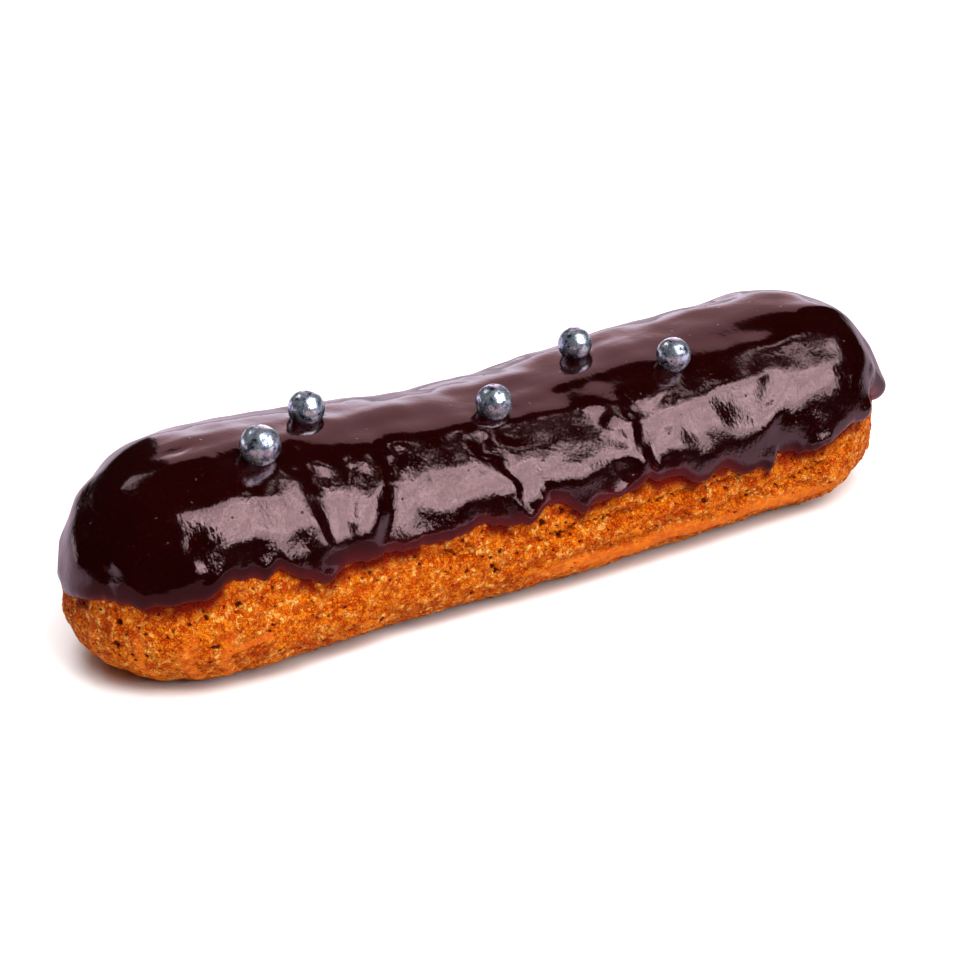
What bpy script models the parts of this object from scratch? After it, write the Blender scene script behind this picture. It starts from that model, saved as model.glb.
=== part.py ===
"""Chocolate eclair: a baked choux finger, a poured chocolate glaze over its upper half, and five
silver sugar pearls pressed into the glaze. Metres, +Z up. The eclair lies along X on its flat base,
with its shown side facing -Y."""

import math

import bmesh
import bpy
import numpy as np
from mathutils import Vector, noise
from mathutils.bvhtree import BVHTree

MM = 0.001

# The baked finger: its length, the length of its rounded ends, the height of its widest line, and
# how much of its round underside is cut away by the flat base
LENGTH = 140 * MM
END_LEFT = 22.6 * MM
END_RIGHT = 20.2 * MM
WIDEST_HEIGHT = 11.2 * MM
BASE_CUT = 1.6 * MM

# At each station along the finger: half width, height and sideways drift
STATIONS = np.array([-70, -46, -22, 2, 26, 48, 70]) * MM
HALF_WIDTHS = np.array([17.1, 19.1, 18.2, 18.5, 18.9, 18.2, 18.6]) * MM
HEIGHTS = np.array([31.7, 31.2, 29.0, 27.3, 28.7, 29.7, 33.4]) * MM
DRIFTS = np.array([-1.0, 0.7, 0.6, -0.1, 0.4, 0.4, -0.6]) * MM

# How full the outline is (2 is an ellipse): the section above and below the widest line, and the plan
UPPER_FULLNESS = 2.2
LOWER_FULLNESS = 2.4
PLAN_FULLNESS = 2.15

# The glaze stands OUTER proud of the finger, and the finger's hidden top lies SEAT lower
GAP = 0.3 * MM
OUTER = 1.4 * MM
SEAT = 0.6 * MM
SEAT_FROM = math.radians(24)
SEAT_TO = math.radians(44)

# The glaze's rounded lip, as distances up from the rim, and the radius that turns them into angles
LIP = 2.0 * MM
LIP_ROWS = np.array([2.0, 1.2, 0.6, 0.2, 0]) * MM
RIM_RADIUS = 19 * MM

# The rim's height as a share of the way from the widest line to the crown, and its tongues in mm:
# place round the finger from the front's middle, half width, and how far the share falls there
RIM_SHARE = 0.27
TONGUES = (
    (-85, 8.5, 0.15),
    (-66, 6, 0.04),
    (-52.6, 2.3, -0.12),
    (-45.3, 1.9, -0.12),
    (-38, 2.2, 0.08),
    (-12, 2.2, -0.055),
    (-4.3, 1.1, 0.05),
    (0.3, 2.8, -0.1),
    (5.2, 1.4, 0.06),
    (17.4, 1.4, -0.08),
    (27.6, 2.8, 0.13),
    (36.3, 4, 0.18),
    (40.3, 1.2, 0.14),
    (49, 6.5, 0.15),
    (60, 1.6, 0.06),
    (64.5, 2.6, -0.09),
    (69.5, 2.2, 0.09),
)
SHOWN_LEFT = -92 * MM
SHOWN_RIGHT = 72 * MM
BACK_WAVE = 0.16
BACK_WAVE_LENGTH = 13 * MM

# A drip that stands out from the rim at the right end: place, half width, and how far it stands out
DRIP_PLACE = 69.5 * MM
DRIP_HALF_WIDTH = 1.8 * MM
DRIP_DEPTH = 1.1 * MM

# The sugar pearls in mm: place along and across, radius, and how deep each is pressed in
PEARLS = (
    (-42.2, -6.2, 3.0, 1.0),
    (-30.1, 1.9, 2.75, 1.2),
    (-2.5, -5.6, 2.8, 0.9),
    (18.5, 3.7, 2.65, 1.0),
    (29.1, -7.3, 2.7, 0.9),
)
PEARL_CELLS = (14, 9)

# Mesh cells: along the straight run, along each end, across the top, and rows down the side
RUN_CELLS = 48
END_CELLS = 6
ACROSS_CELLS = 8
HIDDEN_ROWS = 3
SHOWN_ROWS = 11
SKIRT_ROWS = 3
SHOWN_FROM = math.radians(20)

# The glaze's broad swells, and the finger's baked lumps and long cracks
SWELL = 0.3 * MM
SWELL_LENGTH = 15 * MM
LUMP = 0.6 * MM
LUMP_LENGTH = 6.5 * MM
LUMP_FADE = 0.12
FOOT = 3 * MM
CRACK_DEPTH = 0.7 * MM
CRACK_HALF_WIDTH = 1.1 * MM

# The long cracks in mm: side, then the place along and the height of each end
CRACKS = (
    (-1, -20, 14.2, -13, 13.2),
    (-1, -3, 12.2, 33, 12.9),
    (-1, 4, 6.6, 30, 6.6),
    (-1, 32, 7.4, 58, 11.6),
    (1, -52, 8.4, -14, 9.6),
    (1, 2, 12.4, 40, 11.0),
)


def start_empty():
    for obj in list(bpy.data.objects):
        bpy.data.objects.remove(obj)


def material(name, colour, roughness, metallic=0.0):
    made = bpy.data.materials.new(name)
    made.use_nodes = True
    shader = made.node_tree.nodes["Principled BSDF"]
    shader.inputs["Base Color"].default_value = (*colour, 1)
    shader.inputs["Roughness"].default_value = roughness
    shader.inputs["Metallic"].default_value = metallic
    return made


def through(values, x):
    """The smooth curve through one value at each station, read at x."""
    slopes = np.gradient(values, STATIONS)
    x = min(max(x, STATIONS[0]), STATIONS[-1])
    i = min(max(int(np.searchsorted(STATIONS, x)) - 1, 0), len(STATIONS) - 2)
    step = STATIONS[i + 1] - STATIONS[i]
    t = (x - STATIONS[i]) / step
    return (
        (1 + 2 * t) * (1 - t) ** 2 * values[i]
        + t * (1 - t) ** 2 * step * slopes[i]
        + t * t * (3 - 2 * t) * values[i + 1]
        + t * t * (t - 1) * step * slopes[i + 1]
    )


def smooth_step(value):
    t = min(max(value, 0), 1)
    return t * t * (3 - 2 * t)


def falling(place, middle, half_width):
    return math.exp(-(((place - middle) / half_width) ** 2))


def run_end(side):
    """Where the straight run ends, on the left (-1) or the right (1)."""
    return -LENGTH / 2 + END_LEFT if side < 0 else LENGTH / 2 - END_RIGHT


def plan_size(dx, dy):
    return (abs(dx) ** PLAN_FULLNESS + abs(dy) ** PLAN_FULLNESS) ** (1 / PLAN_FULLNESS)


def surface(core, direction, inflate=0.0):
    """The finger's smooth skin, grown by inflate, in a direction from a place on the straight run.
    The direction leans along X only where that place is one of the run's ends."""
    dx, dy, dz = direction
    fullness = UPPER_FULLNESS if dz > 0 else LOWER_FULLNESS
    size = (plan_size(dx, dy) ** fullness + abs(dz) ** fullness) ** (1 / fullness)
    dx, dy, dz = dx / size, dy / size, dz / size
    x = core + ((END_LEFT if dx < 0 else END_RIGHT) + inflate) * dx
    y = through(DRIFTS, x) + (through(HALF_WIDTHS, x) + inflate) * dy
    reach = WIDEST_HEIGHT + BASE_CUT
    if dz > 0:
        reach = through(HEIGHTS, x) + inflate - WIDEST_HEIGHT
    return Vector((x, y, max(WIDEST_HEIGHT + reach * dz, 0)))


def warped(cube):
    """A step on a cube's face, spaced evenly by angle."""
    return math.tan(cube * math.pi / 4)


def lattice():
    """The grid's columns as (place on the run, step along X), and its rows as steps along Y."""
    left, right = run_end(-1), run_end(1)
    along = [(left, warped(k / END_CELLS - 1)) for k in range(END_CELLS)]
    along += [(left + (right - left) * k / RUN_CELLS, 0.0) for k in range(RUN_CELLS + 1)]
    along += [(right, warped((k + 1) / END_CELLS)) for k in range(END_CELLS)]
    across = [warped(2 * j / ACROSS_CELLS - 1) for j in range(ACROSS_CELLS + 1)]
    return along, across


def edge_cells(along, across):
    """The grid's outer points in order round the finger."""
    last_x, last_y = len(along) - 1, len(across) - 1
    front = [(i, 0) for i in range(last_x)]
    right = [(last_x, j) for j in range(last_y)]
    back = [(i, last_y) for i in range(last_x, 0, -1)]
    left = [(0, j) for j in range(last_y, 0, -1)]
    return front + right + back + left


def edge_columns(along, across):
    """Each outer point's place on the run and its direction in plan."""
    return [(along[i][0], along[i][1], across[j]) for i, j in edge_cells(along, across)]


def edge_place(core, dx, dy):
    """How far round the finger a column stands from the front's middle, right positive."""
    if dx == 0:
        return core if dy < 0 else 2 * run_end(1) + math.pi * END_RIGHT - core
    end = END_LEFT if dx < 0 else END_RIGHT
    return run_end(dx) + math.copysign(end * math.atan2(abs(dx), -dy), dx)


def rim_share(place):
    """The height of the glaze's lower edge at a place round the finger."""
    hidden = max(place - SHOWN_RIGHT, SHOWN_LEFT - place, 0) / (10 * MM)
    wave = noise.noise(Vector((place / BACK_WAVE_LENGTH, 4.7, 1.3)))
    drops = sum(drop * falling(place / MM, middle, wide) for middle, wide, drop in TONGUES)
    return RIM_SHARE - drops + smooth_step(hidden) * BACK_WAVE * wave


def share_angle(share):
    """The elevation at which the skin has this share of its height."""
    fullness = UPPER_FULLNESS if share > 0 else LOWER_FULLNESS
    return math.atan2(share, (1 - abs(share) ** fullness) ** (1 / fullness))


def base_angle():
    """The elevation at which the skin meets the flat base."""
    return share_angle(-WIDEST_HEIGHT / (WIDEST_HEIGHT + BASE_CUT))


def raised(column, angle):
    """The direction at an elevation above a column's plan direction."""
    core, dx, dy = column
    return dx, dy, plan_size(dx, dy) * math.tan(angle)


def between(start, end, count):
    """Evenly spaced angles after start, the last of them at end."""
    return [start + (end - start) * k / count for k in range(1, count + 1)]


def seat_depth(angle):
    """How much lower the finger's hidden top lies at an elevation."""
    return SEAT * smooth_step((angle - SEAT_FROM) / (SEAT_TO - SEAT_FROM))


def cap(bm, along, across, inflate):
    """The upper skin over the whole grid, as columns of vertices."""
    return [
        [bm.verts.new(surface(core, (dx, dy, 1.0), inflate(core, dx, dy))) for dy in across]
        for core, dx in along
    ]


def grid_faces(bm, grid):
    for column, following in zip(grid, grid[1:]):
        for k in range(len(column) - 1):
            bm.faces.new((column[k], following[k], following[k + 1], column[k + 1]))


def ring_faces(bm, upper, lower):
    for k in range(len(upper)):
        following = (k + 1) % len(upper)
        bm.faces.new((upper[k], lower[k], lower[following], upper[following]))


def finish_object(name, bm, finish, sharp_angle=50):
    bmesh.ops.recalc_face_normals(bm, faces=bm.faces)
    mesh = bpy.data.meshes.new(name)
    bm.to_mesh(mesh)
    bm.free()
    mesh.materials.append(finish)
    mesh.shade_smooth()
    mesh.set_sharp_from_angle(angle=math.radians(sharp_angle))
    obj = bpy.data.objects.new(name, mesh)
    bpy.context.scene.collection.objects.link(obj)
    return obj


def crust_relief(point, below_rim):
    """How far the baked crust stands out at a point: nothing under the glaze or at the foot."""
    shown = smooth_step(below_rim / LUMP_FADE) * smooth_step(point.z / FOOT)
    relief = LUMP * noise.fractal(point / LUMP_LENGTH, 0.9, 2.1, 2)
    for side, start, start_height, end, end_height in CRACKS:
        way = (point.x / MM - start) / (end - start)
        if 0 < way < 1 and point.y * side > 0:
            height = (start_height + (end_height - start_height) * way) * MM
            relief -= CRACK_DEPTH * falling(point.z, height, CRACK_HALF_WIDTH)
    return shown * relief


def choux_pastry(finish):
    """The baked finger: a closed skin over its hidden top, down its shown side to the flat base."""
    bm = bmesh.new()
    along, across = lattice()
    columns = edge_columns(along, across)
    top = cap(bm, along, across, lambda core, dx, dy: -SEAT)
    grid_faces(bm, top)
    side = []
    for column in columns:
        start = math.atan(1 / plan_size(column[1], column[2]))
        angles = between(start, SHOWN_FROM, HIDDEN_ROWS) + between(SHOWN_FROM, base_angle(), SHOWN_ROWS)
        points = [surface(column[0], raised(column, angle), -seat_depth(angle)) for angle in angles]
        side.append([bm.verts.new(point) for point in points])

    above = [top[i][j] for i, j in edge_cells(along, across)]
    for row in zip(*side):
        ring_faces(bm, above, row)
        above = row

    # The flat base repeats the grid, drawn in to the outline that the side's last row has
    inner = 1 / math.tan(-base_angle())
    base = {}
    for i, (core, dx) in enumerate(along):
        for j, dy in enumerate(across):
            draw_in = inner * max(abs(dx), abs(dy)) / max(plan_size(dx, dy), 1e-9)
            base[i, j] = surface(core, (dx * draw_in, dy * draw_in, -1.0))
    corners = dict(zip(edge_cells(along, across), above))
    for key, point in base.items():
        base[key] = corners.get(key) or bm.verts.new((point.x, point.y, 0))
    for corner in corners.values():
        corner.co.z = 0
    grid_faces(bm, [[base[i, j] for j in range(len(across))] for i in range(len(along))])

    bmesh.ops.recalc_face_normals(bm, faces=bm.faces)
    bm.normal_update()
    moves = []
    for column, verts in zip(columns, side):
        rim = rim_share(edge_place(*column))
        for vert in verts:
            reach = through(HEIGHTS, vert.co.x) - WIDEST_HEIGHT
            below_rim = rim - (vert.co.z - WIDEST_HEIGHT) / reach
            moves.append((vert, vert.normal * crust_relief(vert.co, below_rim)))
    for vert, move in moves:
        vert.co += move
    return finish_object("choux_pastry", bm, finish)


def swell(core, direction):
    """The glaze's broad unevenness at a point of the skin."""
    point = surface(core, direction)
    return SWELL * noise.noise(point / SWELL_LENGTH + Vector((3.1, 0.4, 7.7)))


def glaze_depth(column, angle, rim):
    """How far the glaze's outer skin stands from the finger at an elevation above the rim."""
    distance = (angle - rim) * RIM_RADIUS
    rounding = math.sqrt(1 - (1 - min(max(distance / LIP, 0), 1)) ** 2)
    body = OUTER - GAP + swell(column[0], raised(column, angle))
    drip = DRIP_DEPTH * falling(edge_place(*column), DRIP_PLACE, DRIP_HALF_WIDTH)
    return GAP + rounding * (body + drip * falling(distance, LIP / 2, LIP))


def chocolate_glaze(finish):
    """The glaze: an outer and an inner skin that meet at the uneven rim."""
    bm = bmesh.new()
    along, across = lattice()
    columns = edge_columns(along, across)
    outer = cap(bm, along, across, lambda core, dx, dy: OUTER + swell(core, (dx, dy, 1.0)))
    inner = cap(bm, along, across, lambda core, dx, dy: GAP - SEAT)
    grid_faces(bm, outer)
    grid_faces(bm, inner)
    outer_side, inner_side = [], []
    for column in columns:
        core = column[0]
        start = math.atan(1 / plan_size(column[1], column[2]))
        rim = share_angle(rim_share(edge_place(*column)))
        lip = [rim + distance / RIM_RADIUS for distance in LIP_ROWS]
        angles = between(start, lip[0], SKIRT_ROWS) + lip[1:]
        points = [surface(core, raised(column, a), glaze_depth(column, a, rim)) for a in angles]
        outer_side.append([bm.verts.new(point) for point in points])
        angles = between(start, rim, SKIRT_ROWS + 1)[:-1]
        points = [surface(core, raised(column, a), GAP - seat_depth(a)) for a in angles]
        inner_side.append([bm.verts.new(point) for point in points])

    for skin, side in ((outer, outer_side), (inner, inner_side)):
        above = [skin[i][j] for i, j in edge_cells(along, across)]
        for row in zip(*side):
            ring_faces(bm, above, row)
            above = row
    ring_faces(bm, above, [verts[-1] for verts in outer_side])
    return finish_object("chocolate_glaze", bm, finish)


def ball(name, centre, radius, finish):
    bm = bmesh.new()
    segments, rings = PEARL_CELLS
    bmesh.ops.create_uvsphere(bm, u_segments=segments, v_segments=rings, radius=radius)
    obj = finish_object(name, bm, finish, 180)
    obj.location = centre
    return obj


def sugar_pearls(glaze, finish):
    """The pearls, each in a socket that is cut into the glaze with a small gap round it."""
    tree = BVHTree.FromPolygons(
        [vert.co for vert in glaze.data.vertices],
        [tuple(face.vertices) for face in glaze.data.polygons],
    )
    pearls = []
    for number, (x, y, radius, sunk) in enumerate(PEARLS, 1):
        above = Vector((x, y, 100)) * MM
        spot, normal, _, _ = tree.ray_cast(above, Vector((0, 0, -1)))
        centre = spot + normal * (radius - sunk) * MM
        pearls.append(ball(f"silver_pearl_{number}", centre, radius * MM, finish))
        cutter = ball(f"socket_{number}", centre, radius * MM + GAP, finish)
        cutter.hide_render = True
        cutter.display_type = "WIRE"
        cut = glaze.modifiers.new(f"socket_{number}", "BOOLEAN")
        cut.operation = "DIFFERENCE"
        cut.object = cutter
    return pearls


def centre_on_base(pieces):
    """Moves everything so that the whole stands over the origin, its base at z = 0."""
    bpy.context.view_layer.update()
    corners = np.array([obj.matrix_world @ Vector(c) for obj in pieces for c in obj.bound_box])
    middle = (corners.min(0) + corners.max(0)) / 2
    for obj in bpy.context.scene.objects:
        obj.location -= Vector((middle[0], middle[1], 0))
    print("centred by", [round(float(-value / MM), 3) for value in middle[:2]], "mm")


def main():
    start_empty()
    crust = material("baked_crust", (0.52, 0.20, 0.035), 0.6)
    chocolate = material("dark_chocolate", (0.018, 0.004, 0.003), 0.18)
    silver = material("silver_sugar", (0.62, 0.64, 0.70), 0.22, 0.9)
    pastry = choux_pastry(crust)
    glaze = chocolate_glaze(chocolate)
    pearls = sugar_pearls(glaze, silver)
    centre_on_base([pastry, glaze, *pearls])


main()
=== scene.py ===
# %% [markdown]
# # A chocolate eclair, dressed for the camera
#
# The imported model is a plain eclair: a baked finger, a glaze over its top and five sugar pearls. Here
# each of them is made again with the fine surface of the real thing. Lengths are in metres, as in
# Blender, and MM turns millimetres into them.

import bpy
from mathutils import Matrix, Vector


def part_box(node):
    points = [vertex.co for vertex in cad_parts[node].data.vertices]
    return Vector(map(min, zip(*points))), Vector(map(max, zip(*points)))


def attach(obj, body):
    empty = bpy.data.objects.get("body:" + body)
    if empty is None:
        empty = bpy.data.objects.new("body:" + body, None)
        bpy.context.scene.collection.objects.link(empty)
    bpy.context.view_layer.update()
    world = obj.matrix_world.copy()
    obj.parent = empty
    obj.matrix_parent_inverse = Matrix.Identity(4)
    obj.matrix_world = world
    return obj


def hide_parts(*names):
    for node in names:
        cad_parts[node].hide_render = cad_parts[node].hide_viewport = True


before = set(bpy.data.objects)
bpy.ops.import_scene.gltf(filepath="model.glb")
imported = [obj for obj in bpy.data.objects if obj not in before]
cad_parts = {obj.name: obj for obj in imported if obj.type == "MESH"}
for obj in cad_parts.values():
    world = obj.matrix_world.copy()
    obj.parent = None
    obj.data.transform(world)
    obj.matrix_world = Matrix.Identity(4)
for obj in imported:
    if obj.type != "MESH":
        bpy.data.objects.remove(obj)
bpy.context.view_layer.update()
print("nodes:", sorted(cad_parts))

# %% Modules and units
import math

import bmesh
import bpy
import numpy as np
from mathutils import Quaternion, Vector, kdtree, noise

MM = 0.001
ON_THE_BASE = 0.001 * MM
print("1 mm is", MM, "m")

# %% [markdown]
# ## The form of the finger
#
# A baker pipes an eclair as one thick line of dough, and it swells in the oven into a rounded finger
# with a slight waist. It could be a stack of scaled rings or a sculpted lump. A formula suits it
# better: a fattened ellipse whose width, height and drift change smoothly from station to station,
# with round ends. The glaze and the crust both read the same formula, so they always fit.

# %% Driving sizes of the finger
LENGTH = 140 * MM
END_LEFT = 22.6 * MM
END_RIGHT = 20.2 * MM
WIDEST_HEIGHT = 11.2 * MM
BASE_CUT = 1.6 * MM
STATIONS = np.array([-70, -46, -22, 2, 26, 48, 70]) * MM
HALF_WIDTHS = np.array([17.1, 19.1, 18.2, 18.5, 18.9, 18.2, 18.6]) * MM
HEIGHTS = np.array([31.7, 31.2, 29.0, 27.3, 28.7, 29.7, 33.4]) * MM
DRIFTS = np.array([-1.0, 0.7, 0.6, -0.1, 0.4, 0.4, -0.6]) * MM
UPPER_FULLNESS = 2.2
LOWER_FULLNESS = 2.4
PLAN_FULLNESS = 2.15
RUN_LEFT = -LENGTH / 2 + END_LEFT
RUN_RIGHT = LENGTH / 2 - END_RIGHT
AROUND = 2 * (RUN_RIGHT - RUN_LEFT) + math.pi * (END_LEFT + END_RIGHT)
FAR_TURN = 2 * RUN_RIGHT + math.pi * END_RIGHT
print(f"straight run from {RUN_LEFT / MM:.1f} to {RUN_RIGHT / MM:.1f} mm, {AROUND / MM:.0f} mm round")


# %% The smooth skin, as a function
def through(values, x):
    """The smooth curve through one value at each station, read at every x."""
    slopes = np.gradient(values, STATIONS)
    x = np.clip(x, STATIONS[0], STATIONS[-1])
    i = np.clip(np.searchsorted(STATIONS, x) - 1, 0, len(STATIONS) - 2)
    step = STATIONS[i + 1] - STATIONS[i]
    t = (x - STATIONS[i]) / step
    return (
        (1 + 2 * t) * (1 - t) ** 2 * values[i]
        + t * (1 - t) ** 2 * step * slopes[i]
        + t * t * (3 - 2 * t) * values[i + 1]
        + t * t * (t - 1) * step * slopes[i + 1]
    )


def plan_size(dx, dy):
    return (np.abs(dx) ** PLAN_FULLNESS + np.abs(dy) ** PLAN_FULLNESS) ** (1 / PLAN_FULLNESS)


def surface(core, dx, dy, dz, inflate=0.0):
    """Points of the skin, grown by inflate, in directions that start from the straight run."""
    fullness = np.where(dz > 0, UPPER_FULLNESS, LOWER_FULLNESS)
    size = (plan_size(dx, dy) ** fullness + np.abs(dz) ** fullness) ** (1 / fullness)
    dx, dy, dz = dx / size, dy / size, dz / size
    x = core + (np.where(dx < 0, END_LEFT, END_RIGHT) + inflate) * dx
    y = through(DRIFTS, x) + (through(HALF_WIDTHS, x) + inflate) * dy
    above = through(HEIGHTS, x) + inflate - WIDEST_HEIGHT
    reach = np.where(dz > 0, above, WIDEST_HEIGHT + BASE_CUT)
    return np.stack([x, y, np.maximum(WIDEST_HEIGHT + reach * dz, 0)], -1)


def angle_share(angle):
    """The share of the height above the widest line that the skin has at this elevation."""
    fullness = np.where(angle > 0, UPPER_FULLNESS, LOWER_FULLNESS)
    level, rise = np.abs(np.cos(angle)), np.abs(np.sin(angle))
    return np.sin(angle) / (level**fullness + rise**fullness) ** (1 / fullness)


def smooth_step(value):
    """0 up to 0, 1 from 1 on, with a soft rise between."""
    t = np.clip(value, 0, 1)
    return t * t * (3 - 2 * t)


def falling(place, middle, half_width):
    """A soft hill: 1 in the middle, a third of that one half width away."""
    return np.exp(-(((place - middle) / half_width) ** 2))


def share_angle(share):
    """The elevation at which the skin has this share of its height above the widest line."""
    fullness = np.where(share > 0, UPPER_FULLNESS, LOWER_FULLNESS)
    return np.arctan2(share, (1 - np.abs(share) ** fullness) ** (1 / fullness))


BASE_ANGLE = float(share_angle(np.array(-WIDEST_HEIGHT / (WIDEST_HEIGHT + BASE_CUT))))
print(f"the skin meets the base {math.degrees(BASE_ANGLE):.1f} degrees below level")

# %% [markdown]
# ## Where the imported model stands
#
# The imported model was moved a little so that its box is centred. The scene has to follow, and the flat
# base shows by how much: its outline has no relief, so comparing its middle with the formula's gives
# the shift exactly.

# %% Find the shift
ends = surface(
    np.array([RUN_LEFT, RUN_RIGHT]),
    np.array([-1.0, 1.0]) / math.tan(-BASE_ANGLE),
    np.zeros(2),
    np.full(2, -1.0),
)
run = np.linspace(RUN_LEFT, RUN_RIGHT, 49)
sides = [
    surface(run, run * 0, run * 0 + side / math.tan(-BASE_ANGLE), run * 0 - 1)
    for side in (-1, 1)
]
form_middle = np.array(
    [(ends[0][0] + ends[1][0]) / 2, (sides[0][:, 1].min() + sides[1][:, 1].max()) / 2]
)
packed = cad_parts["choux_pastry"].data
base = np.array([v.co for v in packed.vertices if v.co.z < ON_THE_BASE])
SHIFT = np.array([*((base.min(0) + base.max(0)) / 2)[:2] - form_middle, 0])
print("shift, mm:", np.round(SHIFT / MM, 3))

# %% [markdown]
# ## Camera
#
# The photograph was taken with a long lens from the left front, a little above. A long lens keeps the
# far end almost as large as the near one, so the lens and the distance both matter: the angle alone
# wouldn't give the same picture.

# %% Camera
AZIMUTH = math.radians(31.5)
ELEVATION = math.radians(27)
DISTANCE = 430 * MM
LENS = 104.6
TARGET = Vector((-1.2, 0.1, 13.9)) * MM + Vector(SHIFT)

camera = bpy.data.objects.new("camera", bpy.data.cameras.new("camera"))
camera.data.lens = LENS
camera.data.sensor_width = 36
camera.data.clip_start = 0.01
back = Vector(
    (
        -math.sin(AZIMUTH) * math.cos(ELEVATION),
        -math.cos(AZIMUTH) * math.cos(ELEVATION),
        math.sin(ELEVATION),
    )
)
camera.location = TARGET + back * DISTANCE
camera.rotation_euler = back.to_track_quat("Z", "Y").to_euler()
bpy.context.scene.collection.objects.link(camera)
bpy.context.scene.camera = camera
print("camera at", [round(v / MM) for v in camera.location], "mm")

# %% [markdown]
# ## Node helpers
#
# Every finish below is a small net of nodes. A few helpers keep the nets short: add makes a node and
# fills its sockets with values or links, and the others are the sums, soft steps, mixes and noise
# that the nets use most.


# %% Node helpers
def add(tree, kind, settings=(), **sockets):
    """A node of this kind. A socket is filled by a value, or linked when given another socket."""
    made = tree.nodes.new("ShaderNode" + kind)
    for key, value in dict(settings).items():
        setattr(made, key, value)
    for key, value in sockets.items():
        socket = made.inputs[int(key[1:])] if key[0] == "i" and key[1:].isdigit() else None
        socket = socket or made.inputs[key.replace("_", " ")]
        if isinstance(value, bpy.types.NodeSocket):
            tree.links.new(value, socket)
        else:
            socket.default_value = value
    return made


def maths(tree, operation, a, b=0.0):
    return add(tree, "Math", {"operation": operation}, i0=a, i1=b).outputs[0]


def product(tree, first, *others):
    """Numbers multiplied together."""
    for other in others:
        first = maths(tree, "MULTIPLY", first, other)
    return first


def vectors(tree, operation, a, b):
    """The result of a sum of two vectors. A dot product gives a number."""
    made = add(tree, "VectorMath", {"operation": operation}, i0=a, i1=b)
    return made.outputs[1 if operation == "DOT_PRODUCT" else 0]


def scaled(tree, vector, scale):
    return add(tree, "VectorMath", {"operation": "SCALE"}, i0=vector, Scale=scale).outputs[0]


def ramp(tree, value, low, high, out_low=0.0, out_high=1.0):
    """A soft step: value from low to high becomes out_low to out_high."""
    made = add(
        tree,
        "MapRange",
        {"interpolation_type": "SMOOTHSTEP"},
        Value=value,
        From_Min=low,
        From_Max=high,
        To_Min=out_low,
        To_Max=out_high,
    )
    return made.outputs[0]


def blend_colours(tree, mask, first, second, mode="MIX"):
    made = add(tree, "Mix", {"data_type": "RGBA", "blend_type": mode}, i0=mask, i6=first, i7=second)
    return made.outputs[2]


def clouds(tree, where, scale, detail=2.0, roughness=0.5, output=0):
    """Soft random light and dark. A larger scale gives smaller clouds."""
    sizes = {"Scale": scale, "Detail": detail, "Roughness": roughness}
    return add(tree, "TexNoise", i0=where, **sizes).outputs[output]


def attribute(tree, name):
    """A mask that the mesh keeps for its finish."""
    return add(tree, "Attribute", {"attribute_name": name}).outputs["Fac"]


def new_material(name):
    """A new material, its net of nodes and its shader."""
    made = bpy.data.materials.new(name)
    made.use_nodes = True
    tree = made.node_tree
    return made, tree, tree.nodes["Principled BSDF"]


print("node helpers ready")

# %% [markdown]
# ## Light
#
# Glaze and silver show little of their own: they show the studio. A large light behind loose cloth, to
# the right of the camera, makes the pale patches on the glaze's shoulder. A wall beyond the eclair,
# brightest low down, makes the long band along the top, and the dark between the two makes the black
# gap. A small window and a low door put a few glints on the left end. Area lights would show as hard
# rectangles. Painting the sky by direction gives each light its exact place, a soft edge and a loose
# outline instead. Two lamps overhead light the floor and the crust, and mirrors don't show them.

# %% Light helpers
world = bpy.data.worlds.new("studio")
world.use_nodes = True
bpy.context.scene.world = world
sky = world.node_tree
direction = add(sky, "TexCoord").outputs["Generated"]


def toward(azimuth, elevation):
    """A unit vector: azimuth in degrees from +Y towards +X, elevation above level."""
    a, e = math.radians(azimuth), math.radians(elevation)
    return Vector((math.sin(a) * math.cos(e), math.cos(a) * math.cos(e), math.sin(e)))


def along(vector, source=direction):
    """How nearly each direction in the sky agrees with this one."""
    return vectors(sky, "DOT_PRODUCT", source, vector)


def panel(place, half_sizes, softness, radiance, roll=0, source=direction):
    """A soft rectangular light. Its place (azimuth, elevation), half sizes and roll are in degrees."""
    ahead = toward(*place)
    level = ahead.cross(Vector((0, 0, 1))).normalized()
    turn = Quaternion(ahead, math.radians(roll))
    depth = maths(sky, "MAXIMUM", along(ahead, source), 0.001)
    light = ramp(sky, along(ahead), 0, 0.05)
    for vector, half in zip((turn @ level, turn @ level.cross(ahead)), half_sizes):
        reach = math.tan(math.radians(half))
        slope = maths(sky, "ABSOLUTE", maths(sky, "DIVIDE", along(vector, source), depth))
        light = product(sky, light, ramp(sky, slope, reach * (1 - softness), reach, 1, 0))
    return product(sky, light, radiance)


def glow(place, reach, low, high):
    """A light's strength: high in one direction, falling to low this many degrees away."""
    return ramp(sky, along(toward(*place)), math.cos(math.radians(reach)), 1.0, low, high)


print("light helpers ready")

# %% Studio light
CLOTH_FOLDS = 3.6
CLOTH_SLACK = 0.95
CLOTH_STREAKS = 13.0
LAMP_WHITE = (1, 0.985, 0.975, 1)
LOW_WALL = (0.9, 0.8, 0.95, 1)
HIGH_WALL = (1, 0.6, 0.64, 1)
DOOR_LIGHT = (0.92, 0.84, 0.94, 1)

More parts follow.
